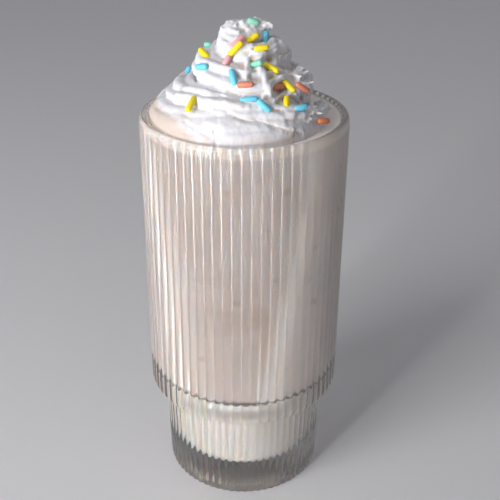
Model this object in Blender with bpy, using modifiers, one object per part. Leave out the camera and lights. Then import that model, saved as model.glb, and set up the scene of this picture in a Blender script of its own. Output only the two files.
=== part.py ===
"""A protein smoothie in a tall ribbed tumbler, under a piped swirl of whipped cream with sprinkles.

Three solids, in one frame: the pressed glass tumbler, the smoothie that fills it to the brim, and the cream
with the sprinkles that lie on it. The origin is at the middle of the tumbler's foot, +Z is up, and -Y is the
front.
"""

import math

import bmesh
import bpy
from mathutils import Matrix, Vector
from mathutils.bvhtree import BVHTree

MM = 0.001

# Tumbler, over its ribs
TUMBLER_HEIGHT = 165 * MM
BODY_RADIUS = 41 * MM
FOOT_RADIUS = 33.7 * MM
FOOT_DRAFT = 1.1 * MM  # how much wider the foot is under the step than at the table
STEP_HEIGHT = 42 * MM  # underside of the body, where the next tumbler's rim stops when they stack
LIP_WALL = 4.1 * MM
INSIDE_RADIUS = BODY_RADIUS - LIP_WALL  # at the lip
INSIDE_DRAFT = 2.4 * MM  # how much narrower the inside is at the shoulder, so that the mould's core draws out
FOOT_WALL = 6.6 * MM
FLOOR = 13 * MM
LIP_BAND = 2.3 * MM  # plain band above the ribs

# Ribs: upright rounded ribs that meet in sharp grooves
RIB_COUNT = 68
RIB_DEPTH = 1.0 * MM
COLUMNS_PER_RIB = 3
RIB_PHASE = math.radians(-0.88)  # turn that sets the grooves off from the front

# Contents
FIT_GAP = 0.3 * MM
FILL_BELOW_RIM = 1.5 * MM
SMOOTHIE_LEVEL = TUMBLER_HEIGHT - FILL_BELOW_RIM
SMOOTHIE_STEPS = 48

# Cream: a rope from a star nozzle, wound clockwise as seen from above. Its centre line has one row for each
# quarter turn, starting at the right (+X) and going round by the front. A row holds the distance out from the
# middle, the height over the smoothie, and the rope's own radius, all in millimetres.
SKIRT = [
    (28.6, 0.4, 4.0),
    (25.6, 2.4, 8.4),
    (27.5, 1.6, 7.6),
    (25.0, 1.5, 7.5),
    (21.0, 1.5, 7.0),
]
SWIRL = [
    (31.0, 4.0, 2.9),
    (22.6, 9.6, 6.2),
    (21.3, 8.8, 7.4),
    (18.5, 9.5, 8.0),
    (19.3, 12.0, 8.4),
    (15.5, 16.0, 7.6),
    (11.6, 20.4, 7.3),
    (9.5, 21.5, 7.4),
    (10.6, 23.0, 7.4),
    (6.2, 24.2, 6.6),
    (5.0, 28.2, 6.5),
    (2.5, 31.4, 5.2),
    (2.8, 30.6, 4.6),
    (2.4, 29.4, 2.8),
]
TIP = [
    (3.4, 31.6, 3.8),
    (1.5, 33.2, 3.5),
    (9.6, 34.9, 0.7),
]
TIP_STARTS_AT = 2  # quarter turns
ROPE_SHIFT = (-1.5 * MM, -2.2 * MM)  # of the lowest turn, towards the front left; it fades to none by the top
ROPE_LOBES = 8
ROPE_GROOVE = 0.22  # depth of the grooves between lobes, as a share of the rope's radius
LOBE_TURN = math.radians(38)  # turn of the lobes about the rope, for each quarter turn
POINTS_PER_QUARTER = 8
CREAM_GRAIN = 0.8 * MM
CREAM_TRIANGLES = 4300

# Sprinkles: rods of sugar. Each is laid where a line from the eye through (x, 0, z) meets the cream. A row
# holds that x and z, the rod's turn from level as the eye sees it, its length, and the dip of its one end.
SPRINKLE_RADIUS = 1.15 * MM
SPRINKLE_SIDES = 6
SPRINKLE_SUNK = 0.35  # of its radius
SPRINKLE_LIFT = 0.6  # how far it turns from the slope under it towards the eye
EYE = (2.5 * MM, -326.5 * MM, 281.6 * MM)
SPRINKLES = [
    (2.3, 193.3, 35, 6.5, 0),
    (-3.3, 189.5, 45, 7.2, 0),
    (-15.3, 186.7, -55, 7.0, 10),
    (10.0, 181.5, -28, 7.0, 0),
    (16.5, 175.3, -42, 7.6, 0),
    (16.0, 168.1, 88, 5.5, 10),
    (-21.1, 166.6, 68, 7.4, 0),
    (6.1, 189.1, 3, 5.5, 10),
    (6.4, 193.3, 84, 6.6, 0),
    (-15.7, 182.5, 2, 5.6, 10),
    (-21.1, 180.5, 70, 5.0, 15),
    (-4.4, 177.9, -75, 7.0, 0),
    (1.7, 169.2, 6, 6.6, 0),
    (7.1, 167.2, -40, 6.2, 0),
    (21.0, 166.5, 15, 5.5, 15),
    (3.0, 199.7, -15, 5.5, 0),
    (-13.6, 190.0, -20, 5.0, 10),
    (5.0, 183.4, 5, 5.5, 20),
    (-7.1, 183.7, 60, 6.4, 0),
    (-2.9, 191.3, 42, 7.4, 0),
    (0.5, 176.0, 3, 6.2, 0),
    (12.0, 175.3, 10, 5.6, 0),
    (21.5, 174.5, -30, 6.6, 0),
    (29.6, 160.6, 5, 6.0, 0),
]


def clear_scene():
    for obj in list(bpy.data.objects):
        bpy.data.objects.remove(obj)


def make_collection(name):
    collection = bpy.data.collections.new(name)
    bpy.context.scene.collection.children.link(collection)
    return collection


def make_material(name, colour, roughness, transmission=0.0):
    material = bpy.data.materials.new(name)
    material.use_nodes = True
    shader = material.node_tree.nodes["Principled BSDF"]
    shader.inputs["Base Color"].default_value = (*colour, 1)
    shader.inputs["Roughness"].default_value = roughness
    shader.inputs["Metallic"].default_value = 0.0
    shader.inputs["Transmission Weight"].default_value = transmission
    return material


def add_object(name, data, collection, material=None):
    obj = bpy.data.objects.new(name, data)
    collection.objects.link(obj)
    if material:
        data.materials.append(material)
    return obj


def evaluated_mesh(obj):
    """A mesh of the object with its modifiers applied, and a curve's caps welded to its sides."""
    bpy.context.view_layer.update()
    graph = bpy.context.evaluated_depsgraph_get()
    mesh = bpy.data.meshes.new_from_object(obj.evaluated_get(graph))
    work = bmesh.new()
    work.from_mesh(mesh)
    bmesh.ops.remove_doubles(work, verts=work.verts, dist=0.001 * MM)
    work.to_mesh(mesh)
    work.free()
    return mesh


def apply_modifier(obj, kind, **settings):
    modifier = obj.modifiers.new(kind, kind)
    for name, value in settings.items():
        setattr(modifier, name, value)
    obj.data = evaluated_mesh(obj)
    obj.modifiers.clear()


def turned(name, profile, steps, collection):
    """A solid of revolution. The profile's (radius, height) points run from the axis at the top, down the
    outer side, and back to the axis."""
    line = bpy.data.meshes.new(name)
    edges = [(i, i + 1) for i in range(len(profile) - 1)]
    line.from_pydata([(r, 0, z) for r, z in profile], edges, [])
    obj = add_object(name, line, collection)
    welded = {"use_merge_vertices": True, "merge_threshold": 0.01 * MM}
    apply_modifier(obj, "SCREW", axis="Z", steps=steps, render_steps=steps, **welded)
    return obj


def corner(centre, radius, start, end, points):
    """Points on an arc of a profile. Angles are in degrees, from straight out towards straight up."""
    angles = [start + (end - start) * i / (points - 1) for i in range(points)]
    return [
        (
            centre[0] + radius * math.cos(math.radians(angle)),
            centre[1] + radius * math.sin(math.radians(angle)),
        )
        for angle in angles
    ]


# The tumbler


def rib_drop(azimuth):
    """How far the ribbed surface lies inside its crests at this azimuth. Each rib is an arc of a circle."""
    half_width = math.pi * BODY_RADIUS / RIB_COUNT
    round_radius = (half_width**2 + RIB_DEPTH**2) / (2 * RIB_DEPTH)
    along_rib = (azimuth - RIB_PHASE) / (2 * math.pi) * RIB_COUNT % 1.0
    from_crest = half_width * (2 * along_rib - 1)
    return round_radius - math.sqrt(round_radius**2 - from_crest**2)


def tumbler_outside():
    """Profile of the tumbler's outer form, without its hollow."""
    lip = 1.5 * MM
    body_corner = 4.0 * MM
    step_fillet = 1.2 * MM
    foot_corner = 1.2 * MM
    stand_width = 5.5 * MM
    punt_depth = 1.4 * MM
    foot_top = FOOT_RADIUS + FOOT_DRAFT
    stand = FOOT_RADIUS - foot_corner - stand_width
    return [
        (0, TUMBLER_HEIGHT),
        *corner((BODY_RADIUS - 0.2 * MM - lip, TUMBLER_HEIGHT - lip), lip, 90, 0, 3),
        (BODY_RADIUS - 0.2 * MM, TUMBLER_HEIGHT - LIP_BAND),
        (BODY_RADIUS, TUMBLER_HEIGHT - LIP_BAND - 0.6 * MM),
        *corner((BODY_RADIUS - body_corner, STEP_HEIGHT + body_corner), body_corner, 0, -90, 3),
        (foot_top + step_fillet, STEP_HEIGHT),
        (foot_top, STEP_HEIGHT - step_fillet),
        *corner((FOOT_RADIUS - foot_corner, foot_corner), foot_corner, 0, -90, 3),
        (stand, 0),
        (stand - punt_depth, punt_depth),
        (0, punt_depth),
    ]


def tumbler_inside(gap=0.0):
    """Profile of the hollow below its straight wall, drawn in by the gap: shoulder, foot and floor."""
    body = INSIDE_RADIUS - INSIDE_DRAFT - gap
    foot = FOOT_RADIUS - FOOT_WALL - gap
    floor = FLOOR + gap
    shoulder = 4.0 * MM
    throat = 2.5 * MM
    floor_corner = 5.0 * MM
    shoulder_height = STEP_HEIGHT + 6.5 * MM + gap
    return [
        *corner((body - shoulder, shoulder_height + shoulder), shoulder, 0, -80, 3),
        (foot + FOOT_DRAFT + 1.2 * MM, shoulder_height - 0.7 * MM),
        (foot + FOOT_DRAFT, shoulder_height - throat),
        *corner((foot - floor_corner, floor + floor_corner), floor_corner, 0, -90, 3),
        (0, floor),
    ]


def make_tumbler(parts, cutters, material):
    tumbler = turned("glass", tumbler_outside(), RIB_COUNT * COLUMNS_PER_RIB, parts)
    tumbler.data.transform(Matrix.Rotation(RIB_PHASE, 4, "Z"))
    ribbed_from = FOOT_RADIUS - 0.6 * MM
    ribbed_to = TUMBLER_HEIGHT - LIP_BAND - 0.1 * MM
    for vertex in tumbler.data.vertices:
        x, y, z = vertex.co
        radius = math.hypot(x, y)
        if radius > ribbed_from and z < ribbed_to:
            scale = 1 - rib_drop(math.atan2(y, x)) / radius
            vertex.co = (x * scale, y * scale, z)
    above = TUMBLER_HEIGHT + 2 * MM
    rim_radius = INSIDE_RADIUS + 1.1 * MM
    hollow = [
        (0, above),
        (rim_radius, above),
        (rim_radius, TUMBLER_HEIGHT),
        (INSIDE_RADIUS + 0.25 * MM, TUMBLER_HEIGHT - 1.0 * MM),
        (INSIDE_RADIUS, TUMBLER_HEIGHT - 2.6 * MM),
        *tumbler_inside(),
    ]
    cutter = turned("hollow_cutter", hollow, RIB_COUNT, cutters)
    cutter.hide_render = True
    cutter.display_type = "WIRE"
    apply_modifier(tumbler, "BOOLEAN", operation="DIFFERENCE", solver="EXACT", object=cutter)
    tumbler.data.materials.clear()
    tumbler.data.materials.append(material)


def make_smoothie(parts, material):
    profile = [
        (0, SMOOTHIE_LEVEL),
        (INSIDE_RADIUS - FIT_GAP, SMOOTHIE_LEVEL),
        *tumbler_inside(FIT_GAP),
    ]
    smoothie = turned("smoothie", profile, SMOOTHIE_STEPS, parts)
    smoothie.data.materials.append(material)


# The cream


def smooth_between(values, place):
    """A value from a row of stations, by a Catmull-Rom curve through them."""
    last = len(values) - 1
    i = min(int(place), last - 1)
    t = place - i
    before, a, b, after = (values[max(0, min(last, k))] for k in (i - 1, i, i + 1, i + 2))
    return 0.5 * (
        2 * a
        + (b - before) * t
        + (2 * before - 5 * a + 4 * b - after) * t * t
        + (3 * a - before - 3 * b + after) * t * t * t
    )


def star_section(collection):
    """The nozzle's opening: a closed curve with round lobes, of radius 1."""
    points = ROPE_LOBES * 6
    curve = bpy.data.curves.new("nozzle_star", "CURVE")
    curve.dimensions = "2D"
    line = curve.splines.new("POLY")
    line.points.add(points - 1)
    line.use_cyclic_u = True
    for i, point in enumerate(line.points):
        angle = 2 * math.pi * i / points
        radius = 1 - ROPE_GROOVE * (1 - abs(math.cos(angle * ROPE_LOBES / 2)))
        point.co = (radius * math.cos(angle), radius * math.sin(angle), 0, 1)
    section = add_object("nozzle_star", curve, collection)
    section.hide_render = True
    return section


def make_rope(name, stations, section, collection, first_quarter=0):
    """A rope of cream along its spiral, as a curve with the star for its section."""
    quarters = len(stations) - 1
    count = quarters * POINTS_PER_QUARTER + 1
    curve = bpy.data.curves.new(name, "CURVE")
    curve.dimensions = "3D"
    curve.bevel_mode = "OBJECT"
    curve.bevel_object = section
    curve.use_fill_caps = True
    curve.twist_mode = "Z_UP"
    line = curve.splines.new("POLY")
    line.points.add(count - 1)
    for i, point in enumerate(line.points):
        quarter = i / POINTS_PER_QUARTER
        out, height, radius = (smooth_between(column, quarter) * MM for column in zip(*stations))
        shift = max(0.0, 1 - height / (30 * MM))
        azimuth = -(first_quarter + quarter) * math.pi / 2
        point.co = (
            out * math.cos(azimuth) + ROPE_SHIFT[0] * shift,
            out * math.sin(azimuth) + ROPE_SHIFT[1] * shift,
            SMOOTHIE_LEVEL + height,
            1,
        )
        point.radius = radius
        point.tilt = LOBE_TURN * quarter
    return add_object(name, curve, collection)


def make_core(collection):
    """The cream inside the spiral, which leaves no hollow there."""
    core = bmesh.new()
    foot_radius = 25 * MM
    top_radius = 3 * MM
    height = 30 * MM
    middle = Matrix.Translation((*ROPE_SHIFT, SMOOTHIE_LEVEL + height / 2))
    bmesh.ops.create_cone(
        core, cap_ends=True, segments=24, radius1=foot_radius, radius2=top_radius, depth=height, matrix=middle
    )
    mesh = bpy.data.meshes.new("cream_core")
    core.to_mesh(mesh)
    core.free()
    return add_object("cream_core", mesh, collection)


def join_meshes(name, objects, collection):
    joined = bmesh.new()
    for obj in objects:
        mesh = evaluated_mesh(obj)
        joined.from_mesh(mesh)
        bpy.data.objects.remove(obj)
    mesh = bpy.data.meshes.new(name)
    joined.to_mesh(mesh)
    joined.free()
    return add_object(name, mesh, collection)


def cut_flat(mesh, height):
    """Cuts off what lies below this height and closes the cut."""
    work = bmesh.new()
    work.from_mesh(mesh)
    geometry = [*work.verts, *work.edges, *work.faces]
    cut = bmesh.ops.bisect_plane(
        work, geom=geometry, dist=0.01 * MM, plane_co=(0, 0, height), plane_no=(0, 0, 1), clear_inner=True
    )
    edges = [item for item in cut["geom_cut"] if isinstance(item, bmesh.types.BMEdge)]
    bmesh.ops.edgeloop_fill(work, edges=edges)
    bmesh.ops.triangulate(work, faces=[face for face in work.faces if len(face.verts) > 4])
    work.to_mesh(mesh)
    work.free()


def sprinkle_mesh(length):
    """A rod with domed ends, lying along X."""
    rod = bmesh.new()
    dome = 0.35 * SPRINKLE_RADIUS
    for end in (-1, 1):
        turn = Matrix.Rotation(math.radians(90), 4, "Y")
        place = Matrix.Translation((end * (length / 2 - dome), 0, 0)) @ turn
        bmesh.ops.create_circle(rod, segments=SPRINKLE_SIDES, radius=SPRINKLE_RADIUS, matrix=place)
    rings = [rod.verts[:SPRINKLE_SIDES], rod.verts[SPRINKLE_SIDES:]]
    bmesh.ops.bridge_loops(rod, edges=rod.edges[:])
    for end, ring in zip((-1, 1), rings):
        tip = rod.verts.new((end * length / 2, 0, 0))
        for i in range(SPRINKLE_SIDES):
            rod.faces.new((ring[i], ring[(i + 1) % SPRINKLE_SIDES], tip))
    bmesh.ops.recalc_face_normals(rod, faces=rod.faces[:])
    mesh = bpy.data.meshes.new("sprinkle")
    rod.to_mesh(mesh)
    rod.free()
    return mesh


def lay_sprinkles(cream, collection):
    """Lays each sprinkle on the cream, along the slope that it lies on."""
    surface = BVHTree.FromPolygons(
        [vertex.co for vertex in cream.data.vertices],
        [polygon.vertices for polygon in cream.data.polygons],
    )
    eye = Vector(EYE)
    for x, z, turn, length, dip in SPRINKLES:
        ray = (Vector((x * MM, 0, z * MM)) - eye).normalized()
        place, normal, _, _ = surface.ray_cast(eye, ray)
        right = ray.cross(Vector((0, 0, 1))).normalized()
        up = right.cross(ray)
        seen = right * math.cos(math.radians(turn)) + up * math.sin(math.radians(turn))
        rest = (normal - ray * SPRINKLE_LIFT).normalized()
        along = (seen - ray * seen.dot(rest) / ray.dot(rest)).normalized()
        side = rest.cross(along)
        tilt = Matrix.Rotation(math.radians(-dip), 3, "Y")
        frame = Matrix((along, side, rest)).transposed() @ tilt
        centre = place + normal * SPRINKLE_RADIUS * (1 - SPRINKLE_SUNK)
        rod = add_object("sprinkle", sprinkle_mesh(length * MM), collection)
        rod.data.transform(Matrix.Translation(centre) @ frame.to_4x4())


def make_cream(parts, cutters, material):
    section = star_section(cutters)
    ropes = [
        make_rope("skirt", SKIRT, section, parts),
        make_rope("swirl", SWIRL, section, parts),
        make_rope("tip", TIP, section, parts, TIP_STARTS_AT),
    ]
    cream = join_meshes("whipped_cream", [*ropes, make_core(parts)], parts)
    apply_modifier(cream, "REMESH", mode="VOXEL", voxel_size=CREAM_GRAIN)
    apply_modifier(cream, "SMOOTH", factor=0.5, iterations=2)
    sprinkles = bpy.data.collections.new("sprinkles")
    cutters.children.link(sprinkles)
    lay_sprinkles(cream, sprinkles)
    apply_modifier(cream, "DECIMATE", ratio=CREAM_TRIANGLES / (2 * len(cream.data.polygons)))
    cut_flat(cream.data, SMOOTHIE_LEVEL + FIT_GAP)
    fused = {"operation": "UNION", "solver": "MANIFOLD", "operand_type": "COLLECTION"}
    apply_modifier(cream, "BOOLEAN", **fused, collection=sprinkles)
    for rod in list(sprinkles.objects):
        bpy.data.objects.remove(rod)
    cream.data.materials.clear()
    cream.data.materials.append(material)


def main():
    clear_scene()
    parts = make_collection("protein_smoothie")
    cutters = make_collection("cutters")
    glass = make_material("clear_glass", (0.95, 0.97, 0.96), 0.03, transmission=1.0)
    shake = make_material("smoothie_beige", (0.72, 0.64, 0.57), 0.4)
    cream = make_material("whipped_cream", (0.93, 0.92, 0.92), 0.5)
    make_tumbler(parts, cutters, glass)
    make_smoothie(parts, shake)
    make_cream(parts, cutters, cream)


main()
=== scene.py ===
import math
import random

import bmesh
import bpy
import numpy as np
from mathutils import Matrix, Vector, noise
from mathutils.bvhtree import BVHTree


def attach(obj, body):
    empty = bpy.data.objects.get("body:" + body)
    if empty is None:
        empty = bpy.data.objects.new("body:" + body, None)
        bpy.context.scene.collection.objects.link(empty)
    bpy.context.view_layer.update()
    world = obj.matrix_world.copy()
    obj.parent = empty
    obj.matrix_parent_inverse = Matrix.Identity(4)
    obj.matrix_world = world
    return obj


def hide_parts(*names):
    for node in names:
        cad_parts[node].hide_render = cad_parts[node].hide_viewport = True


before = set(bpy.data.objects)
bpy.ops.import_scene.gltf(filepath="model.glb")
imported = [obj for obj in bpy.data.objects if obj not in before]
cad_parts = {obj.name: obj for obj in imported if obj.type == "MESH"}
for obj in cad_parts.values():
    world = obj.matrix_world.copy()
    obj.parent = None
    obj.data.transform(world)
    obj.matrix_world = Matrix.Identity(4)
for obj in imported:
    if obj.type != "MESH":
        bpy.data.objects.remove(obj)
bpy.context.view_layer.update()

# The tumbler. A stackable drinking glass of clear soda-lime glass, pressed in a ribbed mould and
# fire-polished: its grooves stay sharp while the lip, the step and the foot are soft. Its wall is thick.
# Sizes are in millimetres, heights from the table and radii from the axis.

MM = 0.001
RIM_HEIGHT = 165.0
LIP_ROUNDING = 1.5
LIP_INSET = 0.2
PLAIN_LIP = 1.9
BODY_RADIUS = 40.86
STEP_HEIGHT = 42.0
STEP_ROUNDING = 4.0
STEP_FILLET = 0.5
FOOT_RADIUS = 33.7
FOOT_DRAFT = 1.1
FOOT_ROUNDING = 0.7
RECESS_RADIUS = FOOT_RADIUS - 8.1
RECESS_HEIGHT = 1.4
INNER_LIP_ROUNDING = 1.3
WALL_TOP = RIM_HEIGHT - 2.6
INSIDE_RADIUS = 36.9
INSIDE_DRAFT = 2.4
SHOULDER_HEIGHT = STEP_HEIGHT + 8.0
SHOULDER_ROUNDING = 2.5
THROAT_DROP = 2.6
FOOT_WALL = 6.6
FLOOR = 13.0
FLOOR_ROUNDING = 5.0
RIBS = 68
RIB_DEPTH = 1.0
RIB_PHASE = math.radians(-0.88)
RIB_START = 0.8
RIB_END_RADIUS = FOOT_RADIUS - 0.9
COLUMNS_PER_RIB = 12


def linear(hex_colour):
    """An sRGB hex colour in the linear values that shaders take."""
    channels = [int(hex_colour[i : i + 2], 16) / 255 for i in (1, 3, 5)]
    return [c / 12.92 if c <= 0.04045 else ((c + 0.055) / 1.055) ** 2.4 for c in channels] + [1.0]


def node(material, kind, settings=(), inputs=(), links=()):
    """Adds one node to a material. Links are (input, other node, output)."""
    new = material.node_tree.nodes.new(kind)
    for name, value in dict(settings).items():
        setattr(new, name, value)
    for name, value in dict(inputs).items():
        new.inputs[name].default_value = value
    for name, other, output in links:
        material.node_tree.links.new(other.outputs[output], new.inputs[name])
    return new


def material_named(name):
    """A new material and its shader."""
    material = bpy.data.materials.new(name)
    material.use_nodes = True
    return material, material.node_tree.nodes["Principled BSDF"]


scene = bpy.context.scene


def piece(name, mesh, material, replaces=None):
    """Puts a mesh in the scene as a piece that rides on the part."""
    made = bpy.data.objects.new(name, mesh)
    scene.collection.objects.link(made)
    mesh.materials.clear()
    mesh.materials.append(material)
    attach(made, "root")
    if replaces:
        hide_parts(replaces)


def clamped(value):
    """The value, held between 0 and 1."""
    return min(1.0, max(0.0, value))


def arc(centre, radius, start, end, points):
    """Points on an arc of a profile, from one angle to the other. 0 points outwards and 90 up."""
    angles = np.radians(np.linspace(start, end, points))
    return [(centre[0] + radius * math.cos(a), centre[1] + radius * math.sin(a)) for a in angles]


def stretch(start, end, points):
    """Points along a straight stretch of a profile, without its ends."""
    return [
        (start[0] + (end[0] - start[0]) * t, start[1] + (end[1] - start[1]) * t)
        for t in np.linspace(0, 1, points + 2)[1:-1]
    ]


def turned(name, profile, columns, shape=None):
    """A mesh of a profile of (radius, height) turned about the axis, on which it starts and ends.

    shape(radius, height, azimuth) gives the radius that each point really gets.
    """
    mesh = bmesh.new()
    rings = []
    for radius, height in profile:
        if radius == 0:
            rings.append([mesh.verts.new((0, 0, height * MM))] * columns)
            continue
        ring = []
        for column in range(columns):
            azimuth = 2 * math.pi * column / columns + RIB_PHASE
            out = shape(radius, height, azimuth) if shape else radius
            spot = (out * math.cos(azimuth) * MM, out * math.sin(azimuth) * MM, height * MM)
            ring.append(mesh.verts.new(spot))
        rings.append(ring)
    for upper, lower in zip(rings, rings[1:]):
        for column in range(columns):
            after = (column + 1) % columns
            corners = dict.fromkeys([upper[column], lower[column], lower[after], upper[after]])
            mesh.faces.new(list(corners)).smooth = True
    data = bpy.data.meshes.new(name)
    mesh.to_mesh(data)
    mesh.free()
    return data


def hollow_profile(grow=0.0):
    """The inside below its straight wall, from the shoulder over the step to the middle of the floor."""
    body = INSIDE_RADIUS - INSIDE_DRAFT + grow
    foot = FOOT_RADIUS - FOOT_WALL + grow
    floor = FLOOR - grow
    shoulder = SHOULDER_HEIGHT - grow
    throat = foot + FOOT_DRAFT
    throat_height = shoulder - THROAT_DROP
    return [
        *arc((body - SHOULDER_ROUNDING, shoulder + SHOULDER_ROUNDING), SHOULDER_ROUNDING, 0, -78, 9),
        (throat + 1.2, shoulder - 0.75),
        (throat + 0.3, shoulder - 1.4),
        (throat, throat_height),
        *stretch((throat, throat_height), (foot, floor + FLOOR_ROUNDING), 6),
        *arc((foot - FLOOR_ROUNDING, floor + FLOOR_ROUNDING), FLOOR_ROUNDING, 0, -90, 9),
        *stretch((foot - FLOOR_ROUNDING, floor), (0, floor), 3),
        (0, floor),
    ]


def rib(radius, height, azimuth):
    """Round ribs that meet in sharp grooves. They start under the plain lip and fade out under the foot.

    The inside is plain.
    """
    is_inside = radius <= INSIDE_RADIUS and height > STEP_HEIGHT + STEP_ROUNDING
    if is_inside or radius < RIB_END_RADIUS:
        return radius
    along = (azimuth - RIB_PHASE) / (2 * math.pi) * RIBS % 1.0
    half_width = math.pi * BODY_RADIUS / RIBS
    round_radius = (half_width**2 + RIB_DEPTH**2) / (2 * RIB_DEPTH)
    drop = round_radius - math.sqrt(round_radius**2 - (half_width * (2 * along - 1)) ** 2)
    fade = clamped((RIM_HEIGHT - PLAIN_LIP - height) / RIB_START)
    if height < FOOT_ROUNDING:
        fade *= clamped((radius - RIB_END_RADIUS) / FOOT_ROUNDING)
    return radius - drop * fade


lip_radius = BODY_RADIUS - LIP_INSET
foot_top = FOOT_RADIUS + FOOT_DRAFT
wall_head = (BODY_RADIUS, RIM_HEIGHT - PLAIN_LIP - 1.0)
outside = [
    *arc((lip_radius - LIP_ROUNDING, RIM_HEIGHT - LIP_ROUNDING), LIP_ROUNDING, 90, 0, 8),
    (lip_radius, RIM_HEIGHT - PLAIN_LIP),
    (lip_radius + 0.08, RIM_HEIGHT - PLAIN_LIP - 0.4),
    wall_head,
    *stretch(wall_head, (BODY_RADIUS, STEP_HEIGHT + STEP_ROUNDING), 16),
    *arc((BODY_RADIUS - STEP_ROUNDING, STEP_HEIGHT + STEP_ROUNDING), STEP_ROUNDING, 0, -90, 10),
    *stretch((BODY_RADIUS - STEP_ROUNDING, STEP_HEIGHT), (foot_top + STEP_FILLET, STEP_HEIGHT), 1),
    *arc((foot_top + STEP_FILLET, STEP_HEIGHT - STEP_FILLET), STEP_FILLET, 90, 180, 5),
    *stretch((foot_top, STEP_HEIGHT - STEP_FILLET), (FOOT_RADIUS, FOOT_ROUNDING), 8),
    *arc((FOOT_RADIUS - FOOT_ROUNDING, FOOT_ROUNDING), FOOT_ROUNDING, 0, -90, 6),
    (RECESS_RADIUS + RECESS_HEIGHT, 0.0),
    (RECESS_RADIUS, RECESS_HEIGHT),
    *stretch((RECESS_RADIUS, RECESS_HEIGHT), (0, RECESS_HEIGHT), 3),
    (0, RECESS_HEIGHT),
]
inner_wall_foot = (INSIDE_RADIUS - INSIDE_DRAFT, SHOULDER_HEIGHT + SHOULDER_ROUNDING)
inside = [
    *arc((INSIDE_RADIUS + 1.6, RIM_HEIGHT - INNER_LIP_ROUNDING), INNER_LIP_ROUNDING, 120, 165, 4),
    (INSIDE_RADIUS + 0.15, RIM_HEIGHT - 1.4),
    (INSIDE_RADIUS, WALL_TOP),
    *stretch((INSIDE_RADIUS, WALL_TOP), inner_wall_foot, 12),
    *hollow_profile(),
]

# Clear soda-lime glass: no colour in the thin wall and a grey tint in the thick foot, mirror-smooth from
# fire polishing, with the faint waves that a mould leaves.
MOULD_WAVE = 9
soda_lime_glass, shader = material_named("soda_lime_glass_fire_polished")
shader.inputs["Base Color"].default_value = linear("#fdfdfd")
shader.inputs["Roughness"].default_value = 0.0
shader.inputs["IOR"].default_value = 1.51
shader.inputs["Transmission Weight"].default_value = 1.0
tint = node(
    soda_lime_glass,
    "ShaderNodeVolumeAbsorption",
    inputs={"Color": linear("#e7e6e5"), "Density": 48.0},
)
glass_output = soda_lime_glass.node_tree.nodes["Material Output"]
soda_lime_glass.node_tree.links.new(tint.outputs["Volume"], glass_output.inputs["Volume"])
place = node(soda_lime_glass, "ShaderNodeTexCoord")
swell = node(
    soda_lime_glass,
    "ShaderNodeTexNoise",
    inputs={"Scale": 1 / (MOULD_WAVE * MM), "Detail": 1.0},
    links=[("Vector", place, "Object")],
)
waves = node(
    soda_lime_glass,
    "ShaderNodeBump",
    inputs={"Strength": 0.3, "Distance": 0.05 * MM},
    links=[("Height", swell, "Fac")],
)
soda_lime_glass.node_tree.links.new(waves.outputs["Normal"], shader.inputs["Normal"])

tumbler_mesh = turned("tumbler", [*reversed(inside), *outside], RIBS * COLUMNS_PER_RIB, rib)
piece("tumbler", tumbler_mesh, soda_lime_glass, "glass")

# The smoothie. Milk, banana and protein powder, blended until it is thick and pale, then poured to the
# brim. It wets the glass all over, so it reaches a little into the wall and no air shows between them.

LEVEL = RIM_HEIGHT - 1.5
INTO_WALL = 0.25
MENISCUS = 1.2

wet_wall_top = (INSIDE_RADIUS + INTO_WALL, WALL_TOP)
wet_wall_foot = (inner_wall_foot[0] + INTO_WALL, inner_wall_foot[1])
smoothie_profile = [
    (0, LEVEL),
    *stretch((0, LEVEL), (INSIDE_RADIUS - MENISCUS, LEVEL), 12),
    (INSIDE_RADIUS - MENISCUS, LEVEL),
    (INSIDE_RADIUS - 0.5, LEVEL + 0.08),
    (INSIDE_RADIUS, LEVEL + 0.3),
    (INSIDE_RADIUS + 0.75, LEVEL + 0.55),
    (INSIDE_RADIUS + 0.4, LEVEL - 0.2),
    wet_wall_top,
    *stretch(wet_wall_top, wet_wall_foot, 12),
    *hollow_profile(INTO_WALL),
]

# Blended smoothie: light sinks a millimetre or two into it, which makes it milky, and its skin is wet but
# not glossy. Its colour is a little cloudy, in patches of 14 mm.
CLOUD_SIZE = 14
blended_smoothie, shader = material_named("smoothie_blended_wet")
shader.inputs["Roughness"].default_value = 0.35
shader.inputs["Specular IOR Level"].default_value = 0.3
shader.inputs["Subsurface Weight"].default_value = 1.0
shader.inputs["Subsurface Radius"].default_value = (1.0, 0.85, 0.7)
shader.inputs["Subsurface Scale"].default_value = 1.9 * MM
place = node(blended_smoothie, "ShaderNodeTexCoord")
cloud = node(
    blended_smoothie,
    "ShaderNodeTexNoise",
    inputs={"Scale": 1 / (CLOUD_SIZE * MM), "Detail": 3.0},
    links=[("Vector", place, "Object")],
)
uneven = node(
    blended_smoothie,
    "ShaderNodeMapRange",
    inputs={"From Min": 0.35, "From Max": 0.65},
    links=[("Value", cloud, "Fac")],
)
mixed = node(
    blended_smoothie,
    "ShaderNodeMix",
    {"data_type": "RGBA"},
    {"A": linear("#e4ddd8"), "B": linear("#e8e1dd")},
    [("Factor", uneven, "Result")],
)
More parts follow.
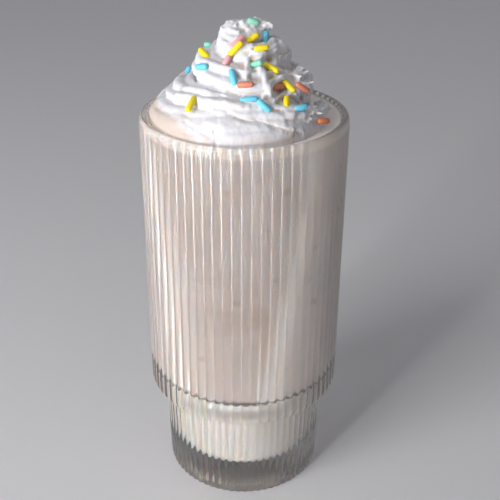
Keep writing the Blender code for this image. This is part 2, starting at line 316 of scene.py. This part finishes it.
# A cinnamon-brown cloud that wasn't stirred in, with a ragged edge, halfway down at the front.
SPICE_PLACE = (-3 * MM, -35 * MM, 95 * MM)
SPICE_REACH = 26
SPICE_CORE = 4
CURDLE_SIZE = 13
from_spice = node(
    blended_smoothie,
    "ShaderNodeVectorMath",
    {"operation": "DISTANCE"},
    {1: SPICE_PLACE},
    [(0, place, "Object")],
)
near_spice = node(
    blended_smoothie,
    "ShaderNodeMapRange",
    {"interpolation_type": "SMOOTHSTEP"},
    {"From Min": SPICE_REACH * MM, "From Max": SPICE_CORE * MM, "To Max": 0.75},
    [("Value", from_spice, "Value")],
)
curdle = node(
    blended_smoothie,
    "ShaderNodeTexNoise",
    inputs={"Scale": 1 / (CURDLE_SIZE * MM), "Detail": 2.0},
    links=[("Vector", place, "Object")],
)
wisps = node(
    blended_smoothie,
    "ShaderNodeMapRange",
    {"interpolation_type": "SMOOTHSTEP"},
    {"From Min": 0.32, "From Max": 0.70},
    [("Value", curdle, "Fac")],
)
spice = node(
    blended_smoothie,
    "ShaderNodeMath",
    {"operation": "MULTIPLY"},
    links=[(0, near_spice, "Result"), (1, wisps, "Result")],
)
spiced = node(
    blended_smoothie,
    "ShaderNodeMix",
    {"data_type": "RGBA"},
    {"B": linear("#d3c5b8")},
    [("Factor", spice, "Value"), ("A", mixed, "Result")],
)
# Flecks of vanilla seed and bran lie against the glass, about 13 mm apart.
FLECK_SPACING = 13
nearest_fleck = node(
    blended_smoothie,
    "ShaderNodeTexVoronoi",
    inputs={"Scale": 1 / (FLECK_SPACING * MM), "Randomness": 1.0},
    links=[("Vector", place, "Object")],
)
fleck = node(
    blended_smoothie,
    "ShaderNodeMapRange",
    {"interpolation_type": "SMOOTHSTEP"},
    {"From Min": 0.17, "From Max": 0.04, "To Max": 0.35},
    [("Value", nearest_fleck, "Distance")],
)
flecked = node(
    blended_smoothie,
    "ShaderNodeMix",
    {"data_type": "RGBA"},
    {"B": linear("#b3a395")},
    [("Factor", fleck, "Result"), ("A", spiced, "Result")],
)
# Painted light: it is painted paler in the foot, to stand in for the brighter light there.
FOOT_LIGHT_FROM = STEP_HEIGHT + 9
FOOT_LIGHT_FULL = STEP_HEIGHT + 7
split = node(blended_smoothie, "ShaderNodeSeparateXYZ", links=[("Vector", place, "Object")])
painted_foot_light = node(
    blended_smoothie,
    "ShaderNodeMapRange",
    inputs={"From Min": FOOT_LIGHT_FROM * MM, "From Max": FOOT_LIGHT_FULL * MM},
    links=[("Value", split, "Z")],
)
foot_lit = node(
    blended_smoothie,
    "ShaderNodeMix",
    {"data_type": "RGBA"},
    {"B": linear("#fff2ec")},
    [("Factor", painted_foot_light, "Result"), ("A", flecked, "Result")],
)
# Foam has risen to the top, where it shows as a pale band against the glass.
FOAM_FOOT = LEVEL - 3.0
FOAM_EDGE = 0.6
risen_foam = node(
    blended_smoothie,
    "ShaderNodeMapRange",
    {"interpolation_type": "SMOOTHSTEP"},
    {"From Min": (FOAM_FOOT - FOAM_EDGE) * MM, "From Max": (FOAM_FOOT + FOAM_EDGE) * MM},
    [("Value", split, "Z")],
)
foamed = node(
    blended_smoothie,
    "ShaderNodeMix",
    {"data_type": "RGBA"},
    {"B": linear("#f6eee8")},
    [("Factor", risen_foam, "Result"), ("A", foot_lit, "Result")],
)
# Over the glass's shoulder it turns inwards, where a thin line of it is in shade. The ribs swell that line.
TURN_HEIGHT = STEP_HEIGHT + 9.6
TURN_SHADE = 1.5
RIB_SWELL = 1.1
over_turn = node(
    blended_smoothie,
    "ShaderNodeMath",
    {"operation": "SUBTRACT"},
    {1: TURN_HEIGHT * MM},
    [(0, split, "Z")],
)
from_turn = node(
    blended_smoothie,
    "ShaderNodeMath",
    {"operation": "ABSOLUTE"},
    links=[(0, over_turn, "Value")],
)
azimuth = node(
    blended_smoothie,
    "ShaderNodeMath",
    {"operation": "ARCTAN2"},
    links=[(0, split, "Y"), (1, split, "X")],
)
rib_angle = node(
    blended_smoothie,
    "ShaderNodeMath",
    {"operation": "MULTIPLY_ADD"},
    {1: RIBS, 2: math.pi - RIB_PHASE * RIBS},
    [(0, azimuth, "Value")],
)
rib_wave = node(
    blended_smoothie,
    "ShaderNodeMath",
    {"operation": "COSINE"},
    links=[(0, rib_angle, "Value")],
)
shade_reach = node(
    blended_smoothie,
    "ShaderNodeMath",
    {"operation": "MULTIPLY_ADD"},
    {1: RIB_SWELL * MM, 2: TURN_SHADE * MM},
    [(0, rib_wave, "Value")],
)
shade = node(
    blended_smoothie,
    "ShaderNodeMapRange",
    {"interpolation_type": "SMOOTHSTEP"},
    {"From Min": 0.0, "To Min": 0.85, "To Max": 0.0},
    [("Value", from_turn, "Value"), ("From Max", shade_reach, "Value")],
)
shaded = node(
    blended_smoothie,
    "ShaderNodeMix",
    {"data_type": "RGBA"},
    {"B": linear("#625e5b")},
    [("Factor", shade, "Result"), ("A", foamed, "Result")],
)
blended_smoothie.node_tree.links.new(shaded.outputs["Result"], shader.inputs["Base Color"])
smoothie_mesh = turned("smoothie", smoothie_profile, 2 * RIBS)
piece("smoothie_drink", smoothie_mesh, blended_smoothie, "smoothie")

# The cream. Aerated dairy cream, squeezed from a star nozzle in a rope that winds up clockwise to a curled
# tip. The nozzle's teeth leave lobes along the rope, and on the right, where it bends hard, they tear.
# A rope's stations are a quarter turn apart: distance from the axis, height over the smoothie, radius.

SKIRT = [
    (28.6, 0.4, 4.0),
    (25.6, 2.4, 8.4),
    (27.5, 1.6, 7.6),
    (25.0, 1.5, 7.5),
    (21.0, 1.5, 7.0),
]
SWIRL = [
    (31.0, 4.0, 2.9),
    (22.6, 9.6, 6.2),
    (21.3, 8.8, 7.4),
    (18.5, 9.5, 8.0),
    (19.3, 12.0, 8.4),
    (15.5, 16.0, 7.6),
    (11.6, 20.4, 7.3),
    (9.5, 21.5, 7.4),
    (10.6, 23.0, 7.4),
    (6.2, 24.2, 6.6),
    (5.0, 28.2, 6.5),
    (2.5, 31.4, 5.2),
    (2.8, 30.6, 4.6),
    (2.4, 29.4, 2.8),
]
TIP = [
    (2.2, 29.0, 3.4),
    (4.4, 31.9, 4.3),
    (1.5, 33.2, 3.5),
    (8.4, 34.0, 1.7),
]
QUARTER_STEPS = 40
ROPE_SHIFT = (-1.5, -2.2)
SHIFT_ENDS = 30
LOBES = 8
LOBE_COLUMNS = 10
LOBE_TURN = math.radians(38)
GROOVE = 0.20
SKIRT_GROOVE = 0.07
PEAK_FROM = 20
PEAK_OVER = 6
PEAK_SOFTENING = 0.65
TORN_SIDE = math.radians(15)
LEAST_TORN = 0.12
PEAK_TORN = 0.4
TEETH = 400
SHORTEST_TOOTH = 0.15
TOOTH_LEVEL = 0.3
TEAR_SPACING = 4.6
TEAR_LENGTH = 0.8
TEAR_HEIGHT = 1.9
THIN_ROPE = 3.0
CORE_RADIUS = 25
CORE_TOP_RADIUS = 3
CORE_HEIGHT = 30
PIPED_GRAIN = 0.8
chance = random.Random(11)


def smooth_between(values, place):
    """A value from a row of stations, by a Catmull-Rom curve through them."""
    last = len(values) - 1
    i = min(int(place), last - 1)
    t = place - i
    before, a, b, after = (values[max(0, min(last, k))] for k in (i - 1, i, i + 1, i + 2))
    return 0.5 * (
        2 * a
        + (b - before) * t
        + (2 * before - 5 * a + 4 * b - after) * t * t
        + (3 * a - before - 3 * b + after) * t * t * t
    )


def lofted(mesh, centres, radii, section):
    """Adds a closed tube along the centres. section(i, angle) gives its shape there, of about radius 1."""
    steps = LOBES * LOBE_COLUMNS
    rings = []
    for i, centre in enumerate(centres):
        ahead = centres[min(i + 1, len(centres) - 1)] - centres[max(i - 1, 0)]
        side = ahead.cross(Vector((0, 0, 1))).normalized()
        up = side.cross(ahead).normalized()
        ring = []
        for k in range(steps):
            angle = 2 * math.pi * k / steps
            out = radii[i] * section(i, angle) * MM
            ring.append(mesh.verts.new(centre + (side * math.cos(angle) + up * math.sin(angle)) * out))
        rings.append(ring)
    for here, there in zip(rings, rings[1:]):
        for k in range(steps):
            after = (k + 1) % steps
            mesh.faces.new((here[k], here[after], there[after], there[k]))
    mesh.faces.new(list(reversed(rings[0])))
    mesh.faces.new(rings[-1])


def rope(mesh, stations, groove, first_quarter=0):
    """Adds one rope of cream through its stations. Its lobes tear into teeth, most of all on the right."""
    centres = []
    radii = []
    azimuths = []
    run = [0.0]
    for i in range((len(stations) - 1) * QUARTER_STEPS + 1):
        quarter = i / QUARTER_STEPS
        out, height, radius = (smooth_between(column, quarter) for column in zip(*stations))
        shift = max(0.0, 1 - height / SHIFT_ENDS)
        azimuth = -(first_quarter + quarter) * math.pi / 2
        azimuths.append(azimuth)
        radii.append(radius)
        x = out * math.cos(azimuth) + ROPE_SHIFT[0] * shift
        y = out * math.sin(azimuth) + ROPE_SHIFT[1] * shift
        centres.append(Vector((x, y, LEVEL + height)) * MM)
        if i:
            run.append(run[-1] + (centres[i] - centres[i - 1]).length / MM)
    starts = [chance.random() for _ in range(LOBES)]
    heights = [[chance.uniform(SHORTEST_TOOTH, 1.0) for _ in range(TEETH)] for _ in range(LOBES)]

    def section(i, angle):
        # A lobe's crest is 1 and the groove beside it 0. A tooth starts at its height and runs out along it.
        turned_by = angle - LOBE_TURN * i / QUARTER_STEPS
        lobe = round(turned_by * LOBES / (2 * math.pi)) % LOBES
        crest = abs(math.cos(turned_by * LOBES / 2))
        high = clamped((centres[i].z / MM - LEVEL - PEAK_FROM) / PEAK_OVER)
        radius = 1 - groove * (1 - PEAK_SOFTENING * high) * (1 - crest)
        torn = max(0.0, math.cos(azimuths[i] - TORN_SIDE)) ** 0.7
        torn = max(torn, LEAST_TORN + PEAK_TORN * high)
        place = run[i] / TEAR_SPACING + starts[lobe]
        tooth = heights[lobe][int(place) % TEETH] * max(0.0, 1 - (place % 1.0) / TEAR_LENGTH)
        return radius + torn * TEAR_HEIGHT * (tooth - TOOTH_LEVEL) * crest**1.5 / max(radii[i], THIN_ROPE)

    lofted(mesh, centres, radii, section)


def fused(mesh, name, grain):
    """The mesh as one closed skin of small even faces."""
    data = bpy.data.meshes.new(name)
    mesh.to_mesh(data)
    made = bpy.data.objects.new(name, data)
    scene.collection.objects.link(made)
    fuse = made.modifiers.new("fuse", "REMESH")
    fuse.mode = "VOXEL"
    fuse.voxel_size = grain * MM
    fuse.use_smooth_shade = True
    soften = made.modifiers.new("soften", "SMOOTH")
    soften.factor = 0.5
    soften.iterations = 2
    bpy.context.view_layer.update()
    shown = made.evaluated_get(bpy.context.evaluated_depsgraph_get())
    skin = bpy.data.meshes.new_from_object(shown)
    bpy.data.objects.remove(made)
    return skin


joined = bmesh.new()
rope(joined, SKIRT, SKIRT_GROOVE)
rope(joined, SWIRL, GROOVE)
rope(joined, TIP, GROOVE, first_quarter=1)
core_middle = (ROPE_SHIFT[0] * MM, ROPE_SHIFT[1] * MM, (LEVEL + CORE_HEIGHT / 2) * MM)
bmesh.ops.create_cone(
    joined,
    cap_ends=True,
    segments=48,
    radius1=CORE_RADIUS * MM,
    radius2=CORE_TOP_RADIUS * MM,
    depth=CORE_HEIGHT * MM,
    matrix=Matrix.Translation(core_middle),
)
piped = fused(joined, "piped", PIPED_GRAIN)
surface = BVHTree.FromPolygons([v.co for v in piped.vertices], [p.vertices for p in piped.polygons])

# Ridges and torn points stand out from the piped rope, and hollows and creases go into it. Each is laid
# through places (x, z), where a line from the eye through (x, 0, z) meets the cream. A ridge's row ends in
# its first and last radius, a point's in its reach across, its reach up and its radius, and a hollow's in
# its size and its depth.

EYE = Vector((2.5 * MM, -326.5 * MM, 281.6 * MM))
RIDGES = [
    ([(5.0, 183.0), (6.6, 179.5), (8.2, 175.2), (9.8, 170.9), (11.3, 168.1)], 1.7, 0.8),
    ([(2.0, 188.0), (5.0, 187.6), (8.4, 187.4)], 1.3, 0.9),
    ([(15.1, 173.3), (13.0, 170.5), (11.0, 167.7)], 1.0, 0.6),
    ([(18.6, 171.7), (20.5, 169.8), (22.1, 167.8)], 1.0, 0.6),
    ([(0.5, 187.0), (1.5, 183.5), (1.0, 180.0), (2.0, 176.5)], 1.5, 0.9),
]
RIDGE_STEPS = 6
RIDGE_LIFT = 0.2
RIDGE_END = 0.4
POINTS = [
    (16.2, 184.2, 0.9, 4.6, 1.5),
    (19.4, 181.6, 2.8, 2.4, 1.6),
    (22.2, 179.6, 2.6, 2.2, 1.7),
    (23.0, 176.4, 3.4, 2.0, 1.6),
    (11.5, 188.0, 2.0, 2.2, 1.4),
    (-3.3, 198.0, 0.2, 2.8, 1.3),
    (5.0, 197.2, 2.9, 0.8, 1.5),
    (-11.0, 191.8, -0.9, 2.2, 1.3),
    (-15.4, 188.6, -1.4, 2.4, 1.6),
    (28.0, 164.6, 3.4, 0.4, 1.5),
    (13.4, 186.4, 2.2, 1.6, 1.3),
    (15.4, 181.0, 1.8, 1.4, 1.4),
    (18.2, 183.4, 1.4, 2.6, 1.3),
    (19.8, 178.8, 2.6, 1.4, 1.3),
    (16.6, 178.6, 2.2, -1.0, 1.2),
    (20.8, 172.8, 2.6, 0.6, 1.4),
    (23.6, 173.4, 2.4, 1.6, 1.3),
    (13.2, 166.2, -1.6, 1.8, 1.3),
    (19.2, 165.4, 1.8, 1.4, 1.3),
    (24.4, 169.2, 2.6, 1.0, 1.4),
    (25.4, 161.8, 2.4, 0.9, 1.3),
]
POINT_STEPS = 8
POINT_ROOT = 0.3
POINT_LIFT = 0.3
POINT_DROOP = 0.4
POINT_TAPER = 0.85
HOLLOWS = [
    (13.6, 173.6, 4.6, 6.5),
    (9.6, 185.4, 3.0, 2.4),
    (3.6, 185.0, 2.6, 1.8),
    (18.0, 177.6, 3.8, 4.0),
    (21.0, 171.0, 3.6, 3.5),
    (10.0, 178.8, 2.4, 2.0),
    (-3.0, 178.8, 3.0, 1.6),
]
CREASES = [
    [(-11.5, 166.0), (-4.0, 163.4), (2.0, 161.2), (8.0, 160.4), (14.0, 158.2), (18.5, 156.6), (22.5, 155.6)],
    [(-10.0, 171.0), (-4.5, 169.4), (2.0, 167.9), (6.5, 167.0), (14.0, 165.0)],
    [(-23.5, 160.6), (-18.0, 157.0), (-12.0, 153.6)],
    [(-11.6, 156.2), (-11.2, 153.0), (-11.4, 150.6)],
    [(-13.5, 176.0), (-8.0, 174.6), (-3.0, 171.8), (1.0, 170.6)],
]
CREASE_STEPS = 24
CREASE_WIDTH = 0.75
CREASE_DEPTH = 0.9
CREASE_WAVER = 0.45
CREAM_GRAIN = 0.42
SWAY = 1.3
SWAY_SIZE = 11
SMALL_SWAY = 0.3
SMALL_SWAY_SIZE = 4
ROUGH = 0.16
ROUGH_TORN = 0.65
ROUGH_SIZE = 3.6
STEADY_BELOW = 2
STEADY_FADE = 6
SUNK_INTO_SMOOTHIE = 0.4
noise.seed_set(3)


def on_cream(x, z):
    """Where a line from the eye through (x, 0, z) meets the cream, its normal there, and the line's way."""
    ray = (Vector((x * MM, 0, z * MM)) - EYE).normalized()
    place, normal, _, _ = surface.ray_cast(EYE, ray)
    return place, normal, ray


def curve_through(stations, steps):
    """Points on a smooth curve through the stations, so many to each stretch between two of them."""
    columns = list(zip(*stations))
    places = range((len(stations) - 1) * steps + 1)
    return [[smooth_between(column, i / steps) for column in columns] for i in places]


def ridge(mesh, places, start, end):
    """Adds a ridge along the places, whose radius runs from start to end."""
    stations = []
    for x, z in places:
        place, normal, _ = on_cream(x, z)
        stations.append(place + normal * RIDGE_LIFT * MM)
    centres = [Vector(spot) for spot in curve_through(stations, RIDGE_STEPS)]
    radii = [start + (end - start) * i / (len(centres) - 1) for i in range(len(centres))]
    radii[0] *= RIDGE_END
    radii[-1] *= RIDGE_END
    lofted(mesh, centres, radii, lambda i, angle: 1 + 0.12 * math.cos(3 * angle + i))


def torn_point(mesh, x, z, across, up, radius):
    """Adds a point of cream that stands out from the rope, across and up as the eye sees it, and droops."""
    place, normal, ray = on_cream(x, z)
    right = ray.cross(Vector((0, 0, 1))).normalized()
    reach = right * across + Vector((0, 0, up)) + normal * POINT_LIFT
    centres = []
    for t in np.linspace(-POINT_ROOT, 1, POINT_STEPS):
        droop = Vector((0, 0, MM)) * POINT_DROOP * t * t
        centres.append(place - normal * MM + reach * MM * t - droop)
    radii = [radius * (1 - POINT_TAPER * i / (POINT_STEPS - 1)) for i in range(POINT_STEPS)]
    lofted(mesh, centres, radii, lambda i, angle: 1 - 0.35 * abs(math.sin(angle * 1.5 + i * 0.3)))


for places, start, end in RIDGES:
    ridge(joined, places, start, end)
for row in POINTS:
    torn_point(joined, *row)
cream_mesh = fused(joined, "cream", CREAM_GRAIN)
joined.free()

spots = np.array([v.co for v in cream_mesh.vertices])
for x, z, size, depth in HOLLOWS:
    place, _, ray = on_cream(x, z)
    near = np.linalg.norm(spots - np.array(place), axis=1) / MM / size
    spots += np.outer(np.exp(-2 * near**2) * depth * MM, np.array(ray))
for places in CREASES:
    path = curve_through([on_cream(x, z)[0] for x, z in places], CREASE_STEPS)
    near = np.full(len(spots), math.inf)
    for i, spot in enumerate(path):
        waver = CREASE_WAVER * MM * math.sin(i * 0.9) * math.sin(i * 0.37 + 1)
        near = np.minimum(near, np.linalg.norm(spots - np.array(spot) - (0, 0, waver), axis=1) / MM)
    _, _, ray = on_cream(*places[len(places) // 2])
    inward = np.array(ray) * (1, 1, 0.2)
    spots += np.outer(np.exp(-((near / CREASE_WIDTH) ** 2)) * CREASE_DEPTH * MM, inward)

ways_out = [v.normal.copy() for v in cream_mesh.vertices]
for vert, spot, normal in zip(cream_mesh.vertices, spots, ways_out):
    vert.co = spot
    sway = noise.noise_vector(vert.co / (SWAY_SIZE * MM)) * SWAY
    sway += noise.noise_vector(vert.co / (SMALL_SWAY_SIZE * MM)) * SWAY * SMALL_SWAY
    held = clamped((vert.co.z / MM - LEVEL - STEADY_BELOW) / STEADY_FADE)
    azimuth = math.atan2(vert.co.y, vert.co.x)
    torn = ROUGH + (ROUGH_TORN - ROUGH) * max(0.0, math.cos(azimuth - TORN_SIDE)) ** 1.5
    rough = noise.fractal(vert.co / (ROUGH_SIZE * MM), 0.7, 2.0, 3)
    vert.co += (sway + normal * torn * rough) * held * MM

trim = bmesh.new()
trim.from_mesh(cream_mesh)
bmesh.ops.bisect_plane(
    trim,
    geom=[*trim.verts, *trim.edges, *trim.faces],
    plane_co=(0, 0, (LEVEL - SUNK_INTO_SMOOTHIE) * MM),
    plane_no=(0, 0, 1),
    clear_inner=True,
)
trim.to_mesh(cream_mesh)
trim.free()

# Whipped dairy cream: a white foam that glows a little, because light sinks in, and has a matt skin. Its
# bubbles give it a grain, which is drawn at 1.6 mm, coarser than real, so that it shows.
GRAIN_SIZE = 1.6
BLOTCH_SIZE = 6
whipped_cream, shader = material_named("dairy_cream_whipped")
shader.inputs["Roughness"].default_value = 0.7
shader.inputs["Specular IOR Level"].default_value = 0.25
shader.inputs["Subsurface Weight"].default_value = 0.45
shader.inputs["Subsurface Radius"].default_value = (1.0, 0.9, 0.85)
shader.inputs["Subsurface Scale"].default_value = 0.7 * MM
place = node(whipped_cream, "ShaderNodeTexCoord")
split = node(whipped_cream, "ShaderNodeSeparateXYZ", links=[("Vector", place, "Object")])
blotch = node(
    whipped_cream,
    "ShaderNodeTexNoise",
    inputs={"Scale": 1 / (BLOTCH_SIZE * MM), "Detail": 3.0},
    links=[("Vector", place, "Object")],
)
# Painted shade: its folds are painted a warm tan for the shade in them, less so on the left, where the light
# reaches into them.
form = node(whipped_cream, "ShaderNodeNewGeometry")
fold_shade = node(
    whipped_cream,
    "ShaderNodeMapRange",
    {"interpolation_type": "SMOOTHSTEP"},
    {"From Min": 0.498, "From Max": 0.45},
    [("Value", form, "Pointiness")],
)
shaded_side = node(
    whipped_cream,
    "ShaderNodeMapRange",
    {"interpolation_type": "SMOOTHSTEP"},
    {"From Min": -10 * MM, "From Max": 4 * MM, "To Min": 0.15},
    [("Value", split, "X")],
)
painted_fold_shade = node(
    whipped_cream,
    "ShaderNodeMath",
    {"operation": "MULTIPLY"},
    links=[(0, fold_shade, "Result"), (1, shaded_side, "Result")],
)
fold_shaded = node(
    whipped_cream,
    "ShaderNodeMix",
    {"data_type": "RGBA"},
    {"A": linear("#d9d8dc"), "B": linear("#d3bda4")},
    [("Factor", painted_fold_shade, "Value")],
)
# The foam near the glass is stained with smoothie: all of it on the left, a strip of it along the front.
# The stain starts at a radius that widens from the left to the middle and narrows again on the right.
STAIN_RADIUS_LEFT = 31.9
STAIN_RADIUS_MIDDLE = 35.1
STAIN_NARROWS_BY = 3.0
flat = node(
    whipped_cream,
    "ShaderNodeVectorMath",
    {"operation": "MULTIPLY"},
    {1: (1, 1, 0)},
    [(0, place, "Object")],
)
out = node(whipped_cream, "ShaderNodeVectorMath", {"operation": "LENGTH"}, links=[(0, flat, "Vector")])
widening = node(
    whipped_cream,
    "ShaderNodeMapRange",
    inputs={
        "From Min": -34 * MM,
        "From Max": -16 * MM,
        "To Min": STAIN_RADIUS_LEFT * MM,
        "To Max": STAIN_RADIUS_MIDDLE * MM,
    },
    links=[("Value", split, "X")],
)
narrowing = node(
    whipped_cream,
    "ShaderNodeMapRange",
    inputs={"From Min": -2 * MM, "From Max": 16 * MM, "To Min": 0.0, "To Max": -STAIN_NARROWS_BY * MM},
    links=[("Value", split, "X")],
)
stain_radius = node(
    whipped_cream,
    "ShaderNodeMath",
    {"operation": "ADD"},
    links=[(0, widening, "Result"), (1, narrowing, "Result")],
)
past = node(
    whipped_cream,
    "ShaderNodeMath",
    {"operation": "SUBTRACT"},
    links=[(0, out, "Value"), (1, stain_radius, "Value")],
)
ragged = node(
    whipped_cream,
    "ShaderNodeMath",
    {"operation": "MULTIPLY_ADD"},
    {1: 3 * MM},
    [(0, blotch, "Fac"), (2, past, "Value")],
)
stain = node(
    whipped_cream,
    "ShaderNodeMapRange",
    {"interpolation_type": "SMOOTHSTEP"},
    {"From Min": 2.1 * MM, "From Max": 4.1 * MM},
    [("Value", ragged, "Value")],
)
stained = node(
    whipped_cream,
    "ShaderNodeMix",
    {"data_type": "RGBA"},
    {"B": linear("#c0b3aa")},
    [("Factor", stain, "Result"), ("A", fold_shaded, "Result")],
)
whipped_cream.node_tree.links.new(stained.outputs["Result"], shader.inputs["Base Color"])
bubbles = node(
    whipped_cream,
    "ShaderNodeTexNoise",
    inputs={"Scale": 1 / (GRAIN_SIZE * MM), "Detail": 4.0},
    links=[("Vector", place, "Object")],
)
relief = node(
    whipped_cream,
    "ShaderNodeBump",
    inputs={"Strength": 0.35, "Distance": 0.5 * MM},
    links=[("Height", bubbles, "Fac")],
)
whipped_cream.node_tree.links.new(relief.outputs["Normal"], shader.inputs["Normal"])
piece("cream_swirl", cream_mesh, whipped_cream, "whipped_cream")

# The sprinkles. Rods of sugar and starch, extruded, cut and tumbled until their ends are round, in six
# bright colours. They fell on the side that faces the front and lie along the cream's slopes.
# A row holds a place (x, z) on the cream, a turn in degrees, a length, a dip in degrees, at times a rise.

SPRINKLE_RADIUS = 1.15
SUNK = 0.35
LEAN_FORWARD = 0.6
SEARCHES = 12
SEARCH_STEP = 0.3
SPRINKLES = {
    "yellow": [
        (2.3, 193.3, 35, 6.5, 0),
        (-3.3, 189.5, 45, 7.2, 0),
        (-15.3, 186.7, -55, 7.0, 10),
        (10.0, 181.5, -28, 7.0, 0),
        (16.5, 175.3, -42, 7.6, 0),
        (16.0, 168.1, 88, 5.5, 10),
        (-20.0, 165.8, 64, 7.4, -8, 1.5),
        (6.1, 189.1, 3, 5.5, 10),
    ],
    "blue": [
        (6.6, 192.6, 82, 7.6, 0, 0.3),
        (-15.7, 182.5, 2, 5.6, 10),
        (-21.1, 180.5, 60, 3.4, 15),
        (-4.4, 177.9, -75, 7.0, 0),
        (1.7, 169.2, 6, 6.6, 0),
        (7.1, 167.2, -40, 6.2, 0),
        (21.0, 166.5, 15, 5.5, 15),
    ],
    "teal": [
        (3.0, 199.6, -15, 4.6, 0, -0.4),
        (-13.6, 190.2, -20, 3.6, 10),
        (5.0, 183.4, 5, 5.5, 20),
    ],
    "pink": [
        (-7.1, 183.7, 60, 6.4, 0),
        (-2.9, 191.3, 42, 7.4, 0),
    ],
    "coral": [
        (0.5, 176.0, 3, 6.2, 0),
        (12.0, 175.3, 10, 5.6, 0),
        (21.5, 174.5, -30, 6.6, 0),
    ],
    "orange": [
        (28.9, 161.2, 5, 5.2, 0, 1.4),
    ],
}
SUGAR_COLOURS = {
    "yellow": "#f4d91a",
    "blue": "#6ccae6",
    "teal": "#86cab3",
    "pink": "#f8b4ba",
    "coral": "#cc7f67",
    "orange": "#d07c55",
}

# From here on, on_cream finds the finished cream.
cream_faces = [p.vertices for p in cream_mesh.polygons]
surface = BVHTree.FromPolygons([v.co for v in cream_mesh.vertices], cream_faces)


def sprinkle(mesh, x, z, turn, length, dip, rise=0.0):
    """Adds one rod, on the cream at (x, z) or just below, turned and dipped as the eye sees it."""
    for _ in range(SEARCHES):
        place, normal, ray = on_cream(x, z)
        if place:
            break
        z -= SEARCH_STEP
    # The slope it rests on is leant a little towards the eye, so that it shows at its length.
    rest = (normal - ray * LEAN_FORWARD).normalized()
    right = ray.cross(Vector((0, 0, 1))).normalized()
    seen = right * math.cos(math.radians(turn)) + right.cross(ray) * math.sin(math.radians(turn))
    along = (seen - ray * seen.dot(rest) / ray.dot(rest)).normalized()
    lean = Matrix.Rotation(math.radians(-dip), 4, "Y")
    lying = Matrix((along, rest.cross(along), rest)).transposed().to_4x4() @ lean
    centre = place + normal * (SPRINKLE_RADIUS * (1 - SUNK) + rise) * MM
    ball = bmesh.ops.create_uvsphere(mesh, u_segments=14, v_segments=10, radius=SPRINKLE_RADIUS * MM)
    for vert in ball["verts"]:
        is_middle = abs(vert.co.z) < 0.0001 * MM
        end = 0.0 if is_middle else math.copysign(length / 2 - SPRINKLE_RADIUS, vert.co.z)
        vert.co = Matrix.Translation(centre) @ lying @ Vector((vert.co.z + end * MM, vert.co.y, vert.co.x))


# Sugar paste, polished by tumbling: opaque and bright, with a dull skin that its crystals roughen. They are
# drawn at 0.35 mm so that they show.
CRYSTAL_SIZE = 0.35
for colour, rows in SPRINKLES.items():
    mesh = bmesh.new()
    for row in rows:
        sprinkle(mesh, *row)
    for face in mesh.faces:
        face.smooth = True
    bmesh.ops.recalc_face_normals(mesh, faces=mesh.faces[:])
    data = bpy.data.meshes.new(f"sprinkles_{colour}")
    mesh.to_mesh(data)
    mesh.free()
    sugar, shader = material_named(f"sugar_rod_{colour}")
    shader.inputs["Base Color"].default_value = linear(SUGAR_COLOURS[colour])
    shader.inputs["Roughness"].default_value = 0.6
    place = node(sugar, "ShaderNodeTexCoord")
    crystals = node(
        sugar,
        "ShaderNodeTexNoise",
        inputs={"Scale": 1 / (CRYSTAL_SIZE * MM), "Detail": 2.0},
        links=[("Vector", place, "Object")],
    )
    skin = node(
        sugar,
        "ShaderNodeBump",
        inputs={"Strength": 0.5, "Distance": 0.12 * MM},
        links=[("Height", crystals, "Fac")],
    )
    sugar.node_tree.links.new(skin.outputs["Normal"], shader.inputs["Normal"])
    piece(f"sprinkles_{colour}", data, sugar)

# The studio. A pale matt floor, a tall window of soft light from the front left, a low strip of light
# that reaches into the foot, and weak light from all round. Sizes here are in metres, powers in watts.
# The floor lies a little under the glass, so that the two faces don't coincide.

FLOOR_REACH = 6
FLOOR_GAP = 0.03 * MM
floor_mesh = bpy.data.meshes.new("floor")
sides = [(-1, -1), (1, -1), (1, 1), (-1, 1)]
corners = [(x * FLOOR_REACH, y * FLOOR_REACH, -FLOOR_GAP) for x, y in sides]
floor_mesh.from_pydata(corners, [], [(0, 1, 2, 3)])
floor = bpy.data.objects.new("floor", floor_mesh)
scene.collection.objects.link(floor)
# Smooth paint on board: pale and matt, with hardly a reflection.
pale_floor, shader = material_named("pale_floor")
shader.inputs["Base Color"].default_value = linear("#d6d6d8")
shader.inputs["Roughness"].default_value = 0.6
floor_mesh.materials.append(pale_floor)


def soft_light(name, place, aim, size, power):
    """A rectangular softbox that faces a point."""
    data = bpy.data.lights.new(name, "AREA")
    data.shape = "RECTANGLE"
    data.size, data.size_y = size
    data.energy = power
    light = bpy.data.objects.new(name, data)
    light.location = place
    light.rotation_euler = (Vector(aim) - Vector(place)).to_track_quat("-Z", "Y").to_euler()
    scene.collection.objects.link(light)


soft_light("window", place=(-0.61, -0.54, 0.58), aim=(0, 0, 0.10), size=(0.40, 0.85), power=5.6)
soft_light("low_strip", place=(-0.42, -0.60, 0.10), aim=(0, 0, 0.03), size=(0.06, 0.16), power=4.0)
world = bpy.data.worlds.new("room")
world.use_nodes = True
all_round = world.node_tree.nodes["Background"]
all_round.inputs["Color"].default_value = linear("#e0e0e4")
all_round.inputs["Strength"].default_value = 0.41
scene.world = world
scene.view_settings.view_transform = "Standard"
# Light that the ribs gather into lines is kept sharp and found sooner.
scene.cycles.blur_glossy = 0.0
scene.cycles.sample_clamp_indirect = 0.0
scene.cycles.use_guiding = True
scene.cycles.guiding_training_samples = 32

CAMERA_PLACE = (0.00251, -0.3265, 0.2816)
CAMERA_DIP = 28.55
CAMERA_ROLL = 0.42
lens = bpy.data.cameras.new("camera")
lens.sensor_width = 36
lens.lens = 63.7
lens.clip_start = 0.01
camera = bpy.data.objects.new("camera", lens)
camera.matrix_world = (
    Matrix.Translation(CAMERA_PLACE)
    @ Matrix.Rotation(math.radians(90 - CAMERA_DIP), 4, "X")
    @ Matrix.Rotation(math.radians(CAMERA_ROLL), 4, "Z")
)
scene.collection.objects.link(camera)
scene.camera = camera
